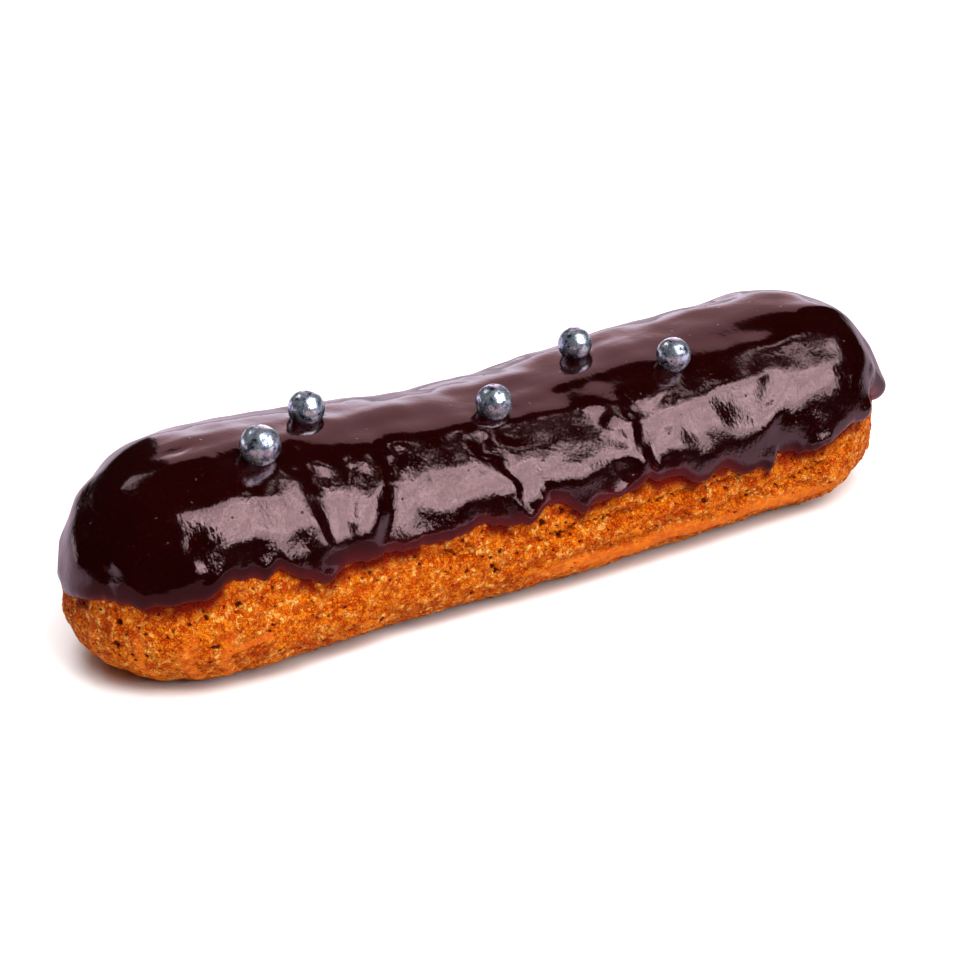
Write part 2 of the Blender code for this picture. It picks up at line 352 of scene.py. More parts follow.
height = add(sky, "SeparateXYZ", i0=direction).outputs[2]
folds = vectors(sky, "SUBTRACT", clouds(sky, direction, CLOTH_FOLDS, output="Color"), (0.5, 0.5, 0.5))
loose = vectors(sky, "ADD", direction, scaled(sky, folds, CLOTH_SLACK))
streaks = ramp(sky, clouds(sky, direction, CLOTH_STREAKS), 0.38, 0.64, 0.5, 1.45)
key = panel((149, 48), (26, 29), softness=0.14, radiance=1.0, roll=-30, source=loose)
key = product(sky, key, glow((161, 42), reach=46, low=2.5, high=5.4), streaks)
wall = panel((33, 20), (18, 30), softness=0.12, radiance=1.0)
wall_light = product(sky, wall, ramp(sky, height, 0.1, 0.45, 2.1, 0.85))
window = panel((-19, 44), (9, 8), softness=0.3, radiance=1.6)
door = panel((-38, 3), (22, 7), softness=0.6, radiance=1.3)
total = ramp(sky, height, 0.08, 0.0, 0.008, 0.35)
for light in (key, window, door, wall_light):
    total = maths(sky, "ADD", total, light)
wall_tint = blend_colours(sky, ramp(sky, height, 0.1, 0.4), LOW_WALL, HIGH_WALL)
tint = blend_colours(sky, wall, LAMP_WHITE, wall_tint)
tint = blend_colours(sky, ramp(sky, door, 0.0, 0.5), tint, DOOR_LIGHT)
sky.links.new(tint, sky.nodes["Background"].inputs["Color"])
sky.links.new(total, sky.nodes["Background"].inputs["Strength"])
print("studio light:", len(sky.nodes), "nodes")

# %% Lamps overhead
LAMP_SIZE = (0.5, 0.35)
LAMP_DISTANCE = 0.8


def ceiling_light(name, azimuth, elevation, power):
    """A soft lamp overhead that lights the floor and the crust but leaves no mirror image."""
    lamp = bpy.data.lights.new(name, "AREA")
    lamp.shape = "RECTANGLE"
    lamp.size, lamp.size_y = LAMP_SIZE
    lamp.energy = power
    obj = bpy.data.objects.new(name, lamp)
    obj.location = toward(azimuth, elevation) * LAMP_DISTANCE
    obj.rotation_euler = toward(azimuth, elevation).to_track_quat("Z", "Y").to_euler()
    obj.visible_glossy = False
    bpy.context.scene.collection.objects.link(obj)


ceiling_light("back_light", 8, 66, 4.0)
ceiling_light("front_light", 203, 62, 5.2)
bpy.context.scene.view_settings.view_transform = "Standard"
print("lamps:", len(bpy.data.lights))

# %% [markdown]
# ## Floor
#
# A sheet of matt white card, wide enough that no view sees its edge. It throws light back under the
# eclair. In the glaze it would glare white along the lip and the outline, where real glaze stays dark
# and purple. So only rays that come from a mirror, which the Light Path node tells apart, see the card
# darker: dark red in front, mauve beyond the eclair. A darker card for all would spoil the shadow.

# %% Floor
FLOOR_SIZE = 6.0
CARD_WHITE = (0.93, 0.93, 0.93, 1)
MIRRORED_FRONT = (0.17, 0.08, 0.09, 1)
MIRRORED_BEYOND = (0.48, 0.39, 0.47, 1)

floor_mesh = bpy.data.meshes.new("floor")
half = FLOOR_SIZE / 2
floor_mesh.from_pydata(
    [(-half, -half, 0), (half, -half, 0), (half, half, 0), (-half, half, 0)], [], [(0, 1, 2, 3)]
)
floor = bpy.data.objects.new("floor", floor_mesh)
bpy.context.scene.collection.objects.link(floor)
card, tree, shader = new_material("white_card")
mirrored = add(tree, "LightPath").outputs["Is Glossy Ray"]
spot = add(tree, "SeparateXYZ", i0=add(tree, "TexCoord").outputs["Object"]).outputs
beyond = maths(tree, "MAXIMUM", ramp(tree, spot[1], -0.01, 0.03), ramp(tree, spot[0], 0.05, 0.09))
seen = blend_colours(tree, beyond, MIRRORED_FRONT, MIRRORED_BEYOND)
tree.links.new(blend_colours(tree, mirrored, CARD_WHITE, seen), shader.inputs["Base Color"])
shader.inputs["Roughness"].default_value = 0.9
shader.inputs["Specular IOR Level"].default_value = 0.1
floor_mesh.materials.append(card)
print("floor", FLOOR_SIZE, "m square")

# %% [markdown]
# ## The glaze's edge
#
# Poured chocolate runs down until it sets, so its lower edge wanders: a few long tongues, a few places
# where it drew back, and small ragged ripples between. A hand-drawn outline would need hundreds of
# points. A level line with a list of tongues says the same in a few numbers: each has a place round
# the finger and a half width, in mm, and a drop, as a share of the height. Where the edge is hidden,
# a slow wave takes over.

# %% The rim and its tongues
RIM_SHARE = 0.27
TONGUES = (
    (-85, 8.5, 0.15),
    (-66, 6, 0.04),
    (-96, 5.5, -0.22),
    (-52.6, 2.3, -0.12),
    (-49.2, 1.8, -0.09),
    (-45.3, 1.9, -0.12),
    (-38, 2.2, 0.08),
    (-12, 2.2, -0.055),
    (-4.3, 1.1, 0.05),
    (0.3, 2.8, -0.1),
    (5.2, 1.4, 0.06),
    (17.4, 1.4, -0.08),
    (27.6, 2.8, 0.13),
    (36.3, 4, 0.18),
    (40.3, 1.2, 0.14),
    (49, 6.5, 0.15),
    (60, 1.6, 0.06),
    (64.5, 2.6, -0.09),
    (69.5, 2.2, 0.09),
)
SHOWN_LEFT = -92 * MM
SHOWN_RIGHT = 72 * MM
HIDDEN_FADE = 10 * MM
BACK_WAVE = 0.16
BACK_WAVE_LENGTH = 13 * MM
RIPPLE = 0.022
RIPPLE_LENGTH = 2.6 * MM
RAGGED = 0.02
RAGGED_LENGTH = 1.1 * MM


def each(function, points):
    """A noise function read at every point of an array."""
    flat = points.reshape(-1, 3)
    return np.array([function(Vector(p)) for p in flat]).reshape(points.shape[:-1])


def waves(points, length, seed):
    """Smooth noise with waves of about this length. Another seed reads another part of it."""
    return each(noise.noise, points / length + seed)


def edge_place(core, dx, dy):
    """How far round the finger a column stands from the front's middle, right positive."""
    straight = np.where(dy < 0, core, FAR_TURN - core)
    turn = np.arctan2(np.abs(dx), -dy)
    left = RUN_LEFT - END_LEFT * turn
    right = RUN_RIGHT + END_RIGHT * turn
    return np.where(dx == 0, straight, np.where(dx < 0, left, right))


def rim_share(place):
    """The height of the glaze's lower edge at places round the finger."""
    hidden = np.maximum(np.maximum(place - SHOWN_RIGHT, SHOWN_LEFT - place), 0) / HIDDEN_FADE
    line = np.stack([place, place * 0, place * 0], -1)
    wave = smooth_step(hidden) * BACK_WAVE * waves(line, BACK_WAVE_LENGTH, (0, 4.7, 1.3))
    ripple = RIPPLE * waves(line, RIPPLE_LENGTH, (0, 9.1, 2.2))
    ragged = RAGGED * waves(line, RAGGED_LENGTH, (0, 5.3, 8.4))
    drops = sum(drop * falling(place / MM, middle, wide) for middle, wide, drop in TONGUES)
    return RIM_SHARE - drops + wave + ripple + ragged


shown = rim_share(np.linspace(SHOWN_LEFT, SHOWN_RIGHT, 200))
print(f"the rim stands at {shown.min():.2f} to {shown.max():.2f} of the height")

# %% [markdown]
# ## Building skins
#
# Both skins are grids wrapped over the finger. A globe's grid would pinch at its poles, where glossy
# glaze shows every fault. A box's grid, blown up like a balloon, has even cells everywhere: a top, and
# rows of rings that run down the side.

# %% Grid helpers


def box_grid(cell):
    """The top grid's columns and rows for cells of about this size: run places, X steps, Y steps."""
    run_cells = round((RUN_RIGHT - RUN_LEFT) / cell)
    left_cells = round(END_LEFT * math.pi / 4 / cell)
    right_cells = round(END_RIGHT * math.pi / 4 / cell)
    across_cells = round(HALF_WIDTHS.mean() * math.pi / 2 / cell)
    core = np.concatenate(
        [
            np.full(left_cells, RUN_LEFT),
            np.linspace(RUN_LEFT, RUN_RIGHT, run_cells + 1),
            np.full(right_cells, RUN_RIGHT),
        ]
    )
    step = np.concatenate(
        [
            np.tan((np.arange(left_cells) / left_cells - 1) * math.pi / 4),
            np.zeros(run_cells + 1),
            np.tan((np.arange(right_cells) + 1) / right_cells * math.pi / 4),
        ]
    )
    return core, step, np.tan(np.linspace(-1, 1, across_cells + 1) * math.pi / 4)


def edge_cells(last_x, last_y):
    """The grid's outer points in order round the finger."""
    front = [(i, 0) for i in range(last_x)]
    right = [(last_x, j) for j in range(last_y)]
    back_side = [(i, last_y) for i in range(last_x, 0, -1)]
    left = [(0, j) for j in range(last_y, 0, -1)]
    return np.array(front + right + back_side + left)


def grid_quads(index):
    """The faces of a grid of vertex numbers."""
    a, b, c, d = index[:-1, :-1], index[1:, :-1], index[1:, 1:], index[:-1, 1:]
    return np.stack([a, b, c, d], -1).reshape(-1, 4)


def ring_quads(rings):
    """The faces between closed rings of vertex numbers, given from the top down."""
    upper, lower = rings[:-1], rings[1:]
    faces = [upper, lower, np.roll(lower, -1, 1), np.roll(upper, -1, 1)]
    return np.stack(faces, -1).reshape(-1, 4)


def make_mesh(name, points, quads, finish):
    """A smooth-shaded object from points and four-cornered faces, its normals facing out."""
    mesh = bpy.data.meshes.new(name)
    mesh.from_pydata(points.tolist(), [], quads.tolist())
    shell = bmesh.new()
    shell.from_mesh(mesh)
    bmesh.ops.recalc_face_normals(shell, faces=shell.faces)
    shell.to_mesh(mesh)
    shell.free()
    mesh.shade_smooth()
    mesh.materials.append(finish)
    obj = bpy.data.objects.new(name, mesh)
    bpy.context.scene.collection.objects.link(obj)
    return obj


def normals_of(mesh):
    """The outward direction at each point of a mesh."""
    found = np.empty(len(mesh.vertices) * 3, np.float32)
    mesh.vertex_normals.foreach_get("vector", found)
    return found.reshape(-1, 3).astype(float)


def set_points(mesh, points):
    mesh.vertices.foreach_set("co", points.astype(np.float32).ravel())
    mesh.update()


def set_mask(mesh, name, values):
    """Keeps one number for each vertex, for the materials to read."""
    mesh.attributes.new(name, "FLOAT", "POINT").data.foreach_set("value", values.astype(np.float32))


print("grid helpers ready")

# %% [markdown]
# ## The glaze
#
# On the real eclair this is a coat of dark chocolate about a millimetre thick, full of slow waves where
# it flowed over the crust. Its lip is thick and rounded at the ends, and narrow and thin along the
# middle of the front. A shell with a Solidify modifier would be even all over, so the outer skin is
# placed point by point: how far it stands from the finger is one function of the place, the height
# above the rim and some noise.

# %% Sizes of the coat
OUTER = 1.4 * MM
TUCKED = 0.15 * MM
GLAZE_CELL = 0.45 * MM
SWELL = 0.3 * MM
SWELL_LENGTH = 15 * MM
WAVE_DEPTH = 0.55 * MM
WAVE_LENGTH = 5.6 * MM
FLOW_DEPTH = 0.3 * MM
FLOW_LENGTH = np.array([15, 4.2, 4.2]) * MM
DIMPLE_DEPTH = 0.05 * MM
DIMPLE_LENGTH = 3.4 * MM
DIMPLE_TOP = 0.1
# Each of these is a middle and a half width: degrees up the side, or mm round the finger.
SHOULDER = (36, 24)
CALM_END = (-94, 9)
RIPPLED = (32, 26)
print(f"the coat is about {OUTER / MM:.1f} mm thick")

# %% Sizes of the lip
LIP = 2.6 * MM
NARROW_LIP = 1.0 * MM
# The front where the lip is narrow, and how softly it widens, in mm round the finger.
NARROW_PART = (-43, 37)
NARROW_FADE = 8
LIP_WAVE = 0.3
LIP_WAVE_LENGTH = 2.8 * MM
LIP_ROWS = 11
RIM_RADIUS = 19 * MM
THIN_EDGE = 0.3
THIN_REACH = 1.1 * MM
UNEVEN = 0.35
UNEVEN_LENGTH = 4 * MM
THINNING_LIMITS = (-0.1, 0.75)
RED_EDGE = 1.5 * MM
RED_EDGE_LESS = 0.8 * MM
DRIP_PLACE = 69.5 * MM
DRIP_HALF_WIDTH = 1.8 * MM
DRIP_DEPTH = 1.1 * MM
print(f"the lip is {NARROW_LIP / MM:.1f} to {LIP / MM:.1f} mm wide")

# %% [markdown]
# The large reflections are broken up where the glaze slipped while it set. A crease is a groove, or a
# ridge when its depth is below zero. A fold is a swelling on its left beside a hollow on its right, or
# the other way round below zero. Each line gives one: from a place round the finger (mm) and an angle
# up its side (degrees) to another, with its half width and its depth in mm. ARC is the length of a
# degree on the skin, in mm. The lines wander a little, so none is straight.

# %% Folds and creases
ARC = 0.33
WANDER = 1.8
WANDER_LENGTH = 3.2 * MM
FOLD_FADE = 1.3
CREASES = (
    (-30.3, 56, -31.6, 36, 0.6, 0.13),
    (13.0, 50, 15.7, 27, 0.6, -0.12),
    (11.6, 33, 13.2, 23, 0.9, 0.22),
    (-50.5, 38, -51.0, 28, 0.5, 0.09),
    (-55.5, 39, -51.5, 42, 0.6, 0.14),
    (-71.5, 28, -62.5, 12, 1.3, -0.42),
    (-74.0, 23, -66.5, 10, 1.0, 0.18),
    (-81.0, 75, -74.0, 80, 1.4, 0.16),
    (-52.0, 78, -49.0, 77, 1.0, 0.10),
    (-9.0, 67, 13.0, 65, 2.5, -0.36),
    (44.0, 8, 60.0, 15, 0.9, -0.34),
    (58.0, 12, 66.0, 27, 0.9, -0.30),
    (62.0, 12, 67.0, 22, 0.8, 0.20),
)
FOLDS = (
    (-38.4, 66, -36.6, 18, 2.2, 0.42),
    (-23.6, 60, -28.6, 24, 2.0, 0.34),
    (-9.0, 52, -2.2, 21, 1.6, 0.38),
    (17.2, 56, 18.2, 18, 2.1, 0.46),
    (17.5, 53, 25.5, 54, 1.0, -0.14),
    (39.5, 29, 45.0, 43, 1.2, 0.22),
    (-59.0, 38, -57.5, 24, 1.2, 0.10),
)
print(len(CREASES), "creases and", len(FOLDS), "folds")

# %% Sugar pearl places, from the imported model
PEARLS = []
for number in range(1, 6):
    low, high = (np.array(corner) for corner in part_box(f"silver_pearl_{number}"))
    PEARLS.append(((low + high) / 2, (high[2] - low[2]) / 2))
    print(f"pearl {number}: radius {PEARLS[-1][1] / MM:.2f} mm at", np.round(PEARLS[-1][0] / MM, 1))

MENISCUS_HEIGHT = 0.22 * MM
MENISCUS_WIDTH = 0.3 * MM


# %% Swells, waves and creases
def swell_at(points):
    """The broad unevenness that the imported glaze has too."""
    return SWELL * waves(points, SWELL_LENGTH, np.array([3.1, 0.4, 7.7]))


def from_line(line, right, up):
    """How far to a line's side each point is, and how far beyond the line's ends."""
    start, start_angle, end, end_angle = line
    run, rise = end - start, (end_angle - start_angle) * ARC
    length = math.hypot(run, rise)
    right, up = right - start, up - start_angle * ARC
    forward = (right * run + up * rise) / length
    return (up * run - right * rise) / length, np.maximum(-forward, forward - length).clip(0)


def creases_at(points, place, angle):
    """How deep the creases and folds run, from places round the finger (mm) and angles (degrees)."""
    wander = WANDER * waves(points, WANDER_LENGTH, 2.9)
    right, up = place + wander, angle * ARC + wander / 2
    depth = place * 0
    for *line, half_width, drop in CREASES:
        beside, beyond = from_line(line, right, up)
        depth += drop * falling(np.hypot(beside, beyond), 0, half_width)
    for *line, half_width, drop in FOLDS:
        beside, beyond = from_line(line, right, up)
        # The step is 1 one half width to the right of the line, -1 as far to its left, 0 far away.
        step = beside / half_width * np.exp(0.5 - 0.5 * (beside / half_width) ** 2)
        depth += drop * step * falling(beyond, 0, FOLD_FADE * half_width)
    return depth * MM


def flow_at(points, place, angle):
    """Slow waves along the eclair, broad ones mostly on its shoulder, and shallow dimples."""
    shoulder = 0.4 + 0.6 * falling(angle, *SHOULDER)
    shoulder *= 1 - 0.6 * falling(place, *CALM_END)
    slow = FLOW_DEPTH * waves(points, FLOW_LENGTH, 11.3)
    broad = WAVE_DEPTH * shoulder * waves(points, WAVE_LENGTH, 17.9)
    dimples = DIMPLE_DEPTH * np.minimum(waves(points, DIMPLE_LENGTH, 31.7), DIMPLE_TOP)
    return slow + broad + dimples


def meniscus_at(points):
    """Glaze that climbs each pearl where the two touch."""
    rise = np.zeros(len(points))
    for centre, radius in PEARLS:
        away = np.linalg.norm(points + SHIFT - centre, axis=-1) - radius
        rise += MENISCUS_HEIGHT * np.exp(-np.maximum(away, 0) / MENISCUS_WIDTH)
    return rise


print("waves and creases ready")


# %% The lip and the coat's thickness
def wide_lip(places):
    """1 where the lip is wide, 0 along the narrow part in the middle of the front."""
    middle, half = sum(NARROW_PART) / 2, np.ptp(NARROW_PART) / 2
    return smooth_step((np.abs(places / MM - middle) - half) / NARROW_FADE + 0.5)


def lip_rounding(bare, distance, wide):
    """The lip's round profile: 0 at the rim, 1 from the lip's top upwards."""
    lip = (NARROW_LIP + (LIP - NARROW_LIP) * wide) * (1 + LIP_WAVE * waves(bare, LIP_WAVE_LENGTH, 3.3))
    return np.sqrt(1 - (1 - np.clip(distance / np.minimum(lip, LIP), 0, 1)) ** 2)


def thickness_at(bare, places, distance, wide):
    """The coat's thickness before waves and creases: thinner here and there at the rim, with a drip."""
    thinning = np.clip(THIN_EDGE * (1 - wide) + UNEVEN * waves(bare, UNEVEN_LENGTH, 6.6), *THINNING_LIMITS)
    thinning *= falling(distance, 0, THIN_REACH)
    drip = DRIP_DEPTH * falling(places, DRIP_PLACE, DRIP_HALF_WIDTH) * falling(distance, LIP / 2, LIP)
    return (OUTER + swell_at(bare)) * (1 - thinning) + TUCKED + drip


print("lip ready")


# %% Lay out the glaze's grid
def glaze_layout():
    """The top grid and the rings below it: directions, angles, distances to the rim and faces."""
    core, step, across = box_grid(GLAZE_CELL)
    edge = edge_cells(len(core) - 1, len(across) - 1)
    edge_core, edge_dx, edge_dy = core[edge[:, 0]], step[edge[:, 0]], across[edge[:, 1]]
    rim = share_angle(rim_share(edge_place(edge_core, edge_dx, edge_dy)))
    start = np.arctan(1 / plan_size(edge_dx, edge_dy))
    lip_top = rim + LIP / RIM_RADIUS
    skirt_rows = round(float((start - lip_top).mean() * RIM_RADIUS / GLAZE_CELL))
    skirt = start + (lip_top - start) * np.linspace(0, 1, skirt_rows + 1)[1:, None]
    curl = (1 - np.cos(np.linspace(0, 1, LIP_ROWS + 1)[:-1] * math.pi / 2))[::-1, None]
    side = np.concatenate([skirt, rim + (lip_top - rim) * curl])

    count = len(core) * len(across)
    all_core = np.concatenate([np.repeat(core, len(across)), np.tile(edge_core, len(side))])
    dx = np.concatenate([np.repeat(step, len(across)), np.tile(edge_dx, len(side))])
    dy = np.concatenate([np.tile(across, len(core)), np.tile(edge_dy, len(side))])
    size = plan_size(dx, dy)
    dz = np.concatenate([np.ones(count), size[count:] * np.tan(side.ravel())])
    angles = np.concatenate([np.arctan(1 / np.maximum(size[:count], 1e-6)), side.ravel()])
    distance = np.concatenate([np.full(count, 4 * LIP), ((side - rim) * RIM_RADIUS).ravel()])

    index = np.arange(count).reshape(len(core), len(across))
    below_top = count + np.arange(side.size).reshape(side.shape)
    rings = np.concatenate([index[edge[:, 0], edge[:, 1]][None], below_top])
    quads = np.concatenate([grid_quads(index), ring_quads(rings)])
    return (all_core, dx, dy, dz), np.degrees(angles), distance, quads


print("glaze grid ready")


# %% Build the glaze
def build_glaze(finish):
    """The glaze: its smooth coat first, then waves, creases and pearl rims along the normals."""
    grid, angles, distance, quads = glaze_layout()
    places = edge_place(*grid[:3])
    bare = surface(*grid)
    wide = wide_lip(places)
    rounding = lip_rounding(bare, distance, wide)
    points = surface(*grid, rounding * thickness_at(bare, places, distance, wide) - TUCKED)
    glaze = make_mesh("poured_glaze", points, quads, finish)
    relief = flow_at(points, places / MM, angles) + meniscus_at(points)
    relief -= creases_at(points, places / MM, angles)
    points = points + normals_of(glaze.data) * (rounding * relief)[:, None]
    set_points(glaze.data, points + SHIFT)
    set_mask(glaze.data, "thin_edge", falling(distance, 0, RED_EDGE - RED_EDGE_LESS * wide))
    set_mask(glaze.data, "shoulder", falling(angles, *RIPPLED))
    return glaze


# %% [markdown]
# ## The glaze's finish
#
# Dark chocolate is nearly black, with red-brown light in it, and it mirrors the room in patches with
# frayed edges, because its skin has a fine ripple like orange peel and a few burst bubbles. The shape
# above is smooth, so the ripple is bump, strongest on the shoulder. Near the rim the coat thins and
# the crust's colour comes through as dark red.

# %% Glaze finish
DEEP_BROWN = (0.005, 0.0001, 0.0001, 1)
WARM_BROWN = (0.009, 0.0003, 0.0003, 1)
COCOA_FLECK = (0.035, 0.002, 0.001, 1)
THIN_COAT = (0.06, 0.003, 0.004, 1)
ROSE_SHEEN = (1.0, 0.66, 0.71, 1)

chocolate, tree, shader = new_material("dark_chocolate_glaze")
where = add(tree, "TexCoord").outputs["Object"]
streaked = add(tree, "Mapping", i0=where, Rotation=(0.0, 0.0, 0.35), Scale=(1.3, 0.9, 0.9)).outputs[0]
mottle = clouds(tree, where, 120)
deep = blend_colours(tree, mottle, DEEP_BROWN, WARM_BROWN)
deep = blend_colours(tree, ramp(tree, clouds(tree, where, 1900, 1.0), 0.66, 0.8), deep, COCOA_FLECK)
colour = blend_colours(tree, attribute(tree, "thin_edge"), deep, THIN_COAT)
tree.links.new(colour, shader.inputs["Base Color"])
tree.links.new(ramp(tree, mottle, 0.3, 0.7, 0.07, 0.13), shader.inputs["Roughness"])
ripple = clouds(tree, streaked, 1300, 2.0, 0.55)
wrinkle = product(tree, clouds(tree, streaked, 480, 1.0), 0.9)
shoulder = ramp(tree, attribute(tree, "shoulder"), 0.0, 0.8, 0.4, 1.0)
height = product(tree, maths(tree, "ADD", ripple, wrinkle), shoulder)
bubbles = add(tree, "TexVoronoi", i0=where, Scale=330).outputs["Distance"]
height = maths(tree, "ADD", height, ramp(tree, bubbles, 0.075, 0.02, 0.0, 2.5))
bump = add(tree, "Bump", Height=height, Strength=0.7, Distance=0.00007)
tree.links.new(bump.outputs[0], shader.inputs["Normal"])
shader.inputs["Specular IOR Level"].default_value = 0.9
shader.inputs["Specular Tint"].default_value = ROSE_SHEEN

glaze = build_glaze(chocolate)
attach(glaze, "root")
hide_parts("chocolate_glaze")
print("glaze:", len(glaze.data.polygons), "faces")

# %% [markdown]
# ## The baked crust
#
# Choux dries into a thin crust of lumps, cracks and burst bubbles. The large ones cast shadows, so
# they are real relief; only the grain finer than a third of a millimetre is bump. The mesh is fine
# all round, below the glaze's edge, and its hidden top is a few wide rows. A sculpted crust could
# look as good, but named marks and seeded noise can be read, moved and made again.

# %% Sizes of the crust
CRUST_CELL = 0.28 * MM
SEAT = 0.6 * MM
HEM = 0.07
LUMP = 0.6 * MM
LUMP_LENGTH = 6.5 * MM
LUMP_FADE = 0.12
FOOT = 3 * MM
CRACK_DEPTH = 0.7 * MM
CRACK_HALF_WIDTH = 1.1 * MM
CRACKS = (
    (-1, -20, 14.2, -13, 13.2),
    (-1, -3, 12.2, 33, 12.9),
    (-1, 4, 6.6, 30, 6.6),
    (-1, 32, 7.4, 58, 11.6),
    (1, -52, 8.4, -14, 9.6),
    (1, 2, 12.4, 40, 11.0),
)
CRUMPLE = 0.5 * MM
CRUMPLE_LENGTH = 1.9 * MM
CRUMPLE_MEAN = 0.35
FLAKE = 0.24 * MM
FLAKE_LENGTH = 0.85 * MM
FLAKE_MEAN = 1.1
FOOT_WAVE = 0.35 * MM
FOOT_WAVE_LENGTH = 3.5 * MM
HIDDEN_ROWS = 6
BAND_RISE = 0.12 * MM
print("crust cells of", CRUST_CELL / MM, "mm,", len(CRACKS), "long cracks")

# %% [markdown]
# Some marks on the shown side are large enough to be placed one by one: torn ledges, holes where a
# bubble broke, and smooth bands where the dough lay against the paper. Each line below is one mark.
# Ledges and long bands run from one place round the finger to another, then from one height to
# another. Holes have a place, a height and a radius. All are in mm. The many small pores are seeded.

# %% Marks on the shown side
LEDGES = (
    (-19, -14, 14.3, 13.0, 0.5),
    (-3, 5, 11.9, 12.3, 0.45),
    (5, 17, 12.4, 13.2, 0.4),
    (17, 40, 13.2, 12.8, 0.3),
    (38, 54, 7.5, 11.0, 0.4),
)
HOLES = (
    (-51.8, 15.3, 0.5),
    (-56.8, 14.2, 0.42),
    (-70.3, 13.3, 0.55),
    (-71.3, 9.6, 0.5),
    (-56.0, 9.3, 0.4),
    (-1.4, 14.7, 0.55),
    (2.2, 15.7, 0.42),
    (1.9, 11.5, 0.6),
    (-9.8, 9.4, 0.5),
    (-8.6, 11.7, 0.5),
    (-9.2, 8.3, 0.5),
    (28.4, 10.3, 0.6),
    (37.1, 9.2, 0.45),
    (-5.2, 17.0, 0.5),
)
BANDS = (
    (-7, 62, 5.4, 5.4, 1.2),
    (-56, -46, 7.6, 9.4, 0.7),
)
UPRIGHT_BANDS = ((-77.5, 0.9), (-67.3, 0.9), (-59.5, 1.0), (-53.9, 0.7))
PORE_COUNT = 1100
PORE_RADIUS = (0.12, 0.36)
PORE_HEIGHTS = (0.4, 17.5)
PORE_RAGGED = 0.6
PORE_RAGGED_LENGTH = 0.5 * MM
PORE_DEPTH = 1.1
SEED = 11
LEDGE_STRENGTH = 2.1
print(len(LEDGES), "ledges,", len(HOLES), "holes,", PORE_COUNT, "pores")


# %% Crust relief
def columns_at(place):
    """The start point and level direction of each column round the finger."""
    left_turn = np.clip((RUN_LEFT - place) / END_LEFT, 0, math.pi)
    right_turn = np.clip((place - RUN_RIGHT) / END_RIGHT, 0, math.pi)
    core = np.clip(np.where(right_turn < math.pi, place, FAR_TURN - place), RUN_LEFT, RUN_RIGHT)
    return core, np.sin(right_turn) - np.sin(left_turn), -np.cos(left_turn + right_turn)


def ridges(point):
    """Sharp little ridges, like flakes of crust."""
    return noise.ridged_multi_fractal(point, 1.0, 2.0, 2, 0.9, 2.0)


def relief_at(points, below_rim):
    """How far the baked crust stands out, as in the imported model, with finer folds and flakes."""
    fade = smooth_step(below_rim / LUMP_FADE) * smooth_step(points[:, 2] / FOOT)
    relief = LUMP * each(lambda p: noise.fractal(p, 0.9, 2.1, 2), points / LUMP_LENGTH)
    for side, start, start_height, end, end_height in CRACKS:
        way = (points[:, 0] / MM - start) / (end - start)
        height = (start_height + (end_height - start_height) * way) * MM
        here = (way > 0) & (way < 1) & (points[:, 1] * side > 0)
        relief -= here * CRACK_DEPTH * falling(points[:, 2], height, CRACK_HALF_WIDTH)
    crumple = each(lambda p: noise.voronoi(p)[0][0], points / CRUMPLE_LENGTH)
    flakes = each(ridges, points / FLAKE_LENGTH)
    fine = smooth_step(below_rim / 0.03)
    # The means are taken off so that the crust keeps its size.
    finer = CRUMPLE * (CRUMPLE_MEAN - crumple) + FLAKE * (flakes - FLAKE_MEAN)
    return fade * relief + fine * finer


def marks_at(place, height):
    """Depths and masks of the named marks, from places round the finger and heights, in mm."""
    depth = place * 0
    smooth = place * 0
    ledge_shade = place * 0
    for start, end, start_height, end_height, drop in LEDGES:
        way = (place - start) / (end - start)
        # Two waves, about 3 and 1.2 mm long, make the torn line wander.
        wander = 0.35 * np.sin(place * 2.1) + 0.2 * np.sin(place * 5.3 + 1)
        below = start_height + (end_height - start_height) * way + wander - height
        here = smooth_step(way * 8) * smooth_step((1 - way) * 8)
        torn = smooth_step(below / 0.25) * np.exp(-np.maximum(below, 0) / 0.9)
        depth += here * LEDGE_STRENGTH * drop * torn
        broken = smooth_step(0.6 + np.sin(place * 3.1))
        # Painted shade: a thin dark line just below each torn ledge.
        ledge_shade = np.maximum(ledge_shade, here * falling(below, 0.2, 0.28) * broken)
    for start, end, start_height, end_height, half_width in BANDS:
        way = (place - start) / (end - start)
        line = start_height + (end_height - start_height) * way + 0.4 * np.sin(place * 0.35)
        here = smooth_step(way * 6) * smooth_step((1 - way) * 6)
        smooth = np.maximum(smooth, here * smooth_step(1.6 - np.abs(height - line) / half_width))
    for middle, half_width in UPRIGHT_BANDS:
        lean = middle + 0.5 * np.sin(height * 0.7)
        here = smooth_step((13 - height) / 3)
        smooth = np.maximum(smooth, 0.7 * here * smooth_step(1.7 - np.abs(place - lean) / half_width))
    return depth, smooth, ledge_shade


print("crust relief ready")


# %% Pores
def point_at(place, height):
    """The skin's point at a place round the finger and a height."""
    core, dx, dy = columns_at(place)
    side = surface(core, dx, dy, place * 0)
    above = through(HEIGHTS, side[:, 0]) - WIDEST_HEIGHT
    rise = height - WIDEST_HEIGHT
    angle = share_angle(rise / np.where(rise > 0, above, WIDEST_HEIGHT + BASE_CUT))
    size = plan_size(dx, dy)
    return surface(core, dx * np.cos(angle), dy * np.cos(angle), size * np.sin(angle))


